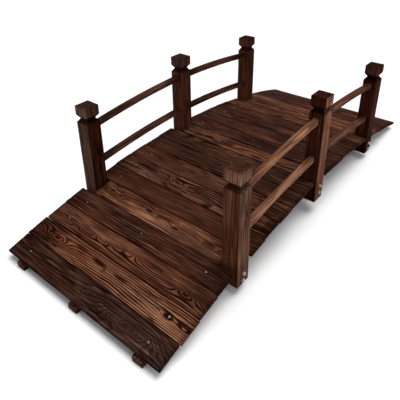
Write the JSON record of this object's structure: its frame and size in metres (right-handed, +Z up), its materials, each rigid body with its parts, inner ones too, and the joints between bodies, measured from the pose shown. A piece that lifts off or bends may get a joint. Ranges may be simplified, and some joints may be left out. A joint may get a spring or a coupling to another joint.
{
  "type": "garden moon bridge",
  "caption": "Low arched garden footbridge in dark-stained wood: plank deck on bowed stringers, square posts with a grooved head, and bowed upper and lower side rails.",
  "frame": {"origin": "on the ground under the middle of the bridge", "axes": "+X along the walkway from the front end to the rear end, +Y to the left side of someone walking that way, +Z up"},
  "size_m": [1.5, 0.605, 0.415],
  "materials": {
    "deck_wood": "dark stained, satin",
    "stringer_wood": "dark stained, matt",
    "post_wood": "dark stained, satin",
    "rail_wood": "dark stained, satin"
  },
  "bodies": {
    "root": {"stringer_left": "stringer_wood", "stringer_middle": "stringer_wood", "stringer_right": "stringer_wood", "deck_plank_01": "deck_wood", "deck_plank_02": "deck_wood", "deck_plank_03": "deck_wood", "deck_plank_04": "deck_wood", "deck_plank_05": "deck_wood", "deck_plank_06": "deck_wood", "deck_plank_07": "deck_wood", "deck_plank_08": "deck_wood", "deck_plank_09": "deck_wood", "deck_plank_10": "deck_wood", "deck_plank_11": "deck_wood", "deck_plank_12": "deck_wood", "deck_plank_13": "deck_wood", "deck_plank_14": "deck_wood", "deck_plank_15": "deck_wood", "deck_plank_16": "deck_wood", "deck_plank_17": "deck_wood", "deck_plank_18": "deck_wood", "deck_plank_19": "deck_wood", "deck_plank_20": "deck_wood", "deck_plank_21": "deck_wood", "post_left_front": "post_wood", "post_left_middle": "post_wood", "post_left_rear": "post_wood", "post_right_front": "post_wood", "post_right_middle": "post_wood", "post_right_rear": "post_wood", "rail_left_front_upper": "rail_wood", "rail_left_front_lower": "rail_wood", "rail_left_rear_upper": "rail_wood", "rail_left_rear_lower": "rail_wood", "rail_right_front_upper": "rail_wood", "rail_right_front_lower": "rail_wood", "rail_right_rear_upper": "rail_wood", "rail_right_rear_lower": "rail_wood"}
  },
  "joints": []
}
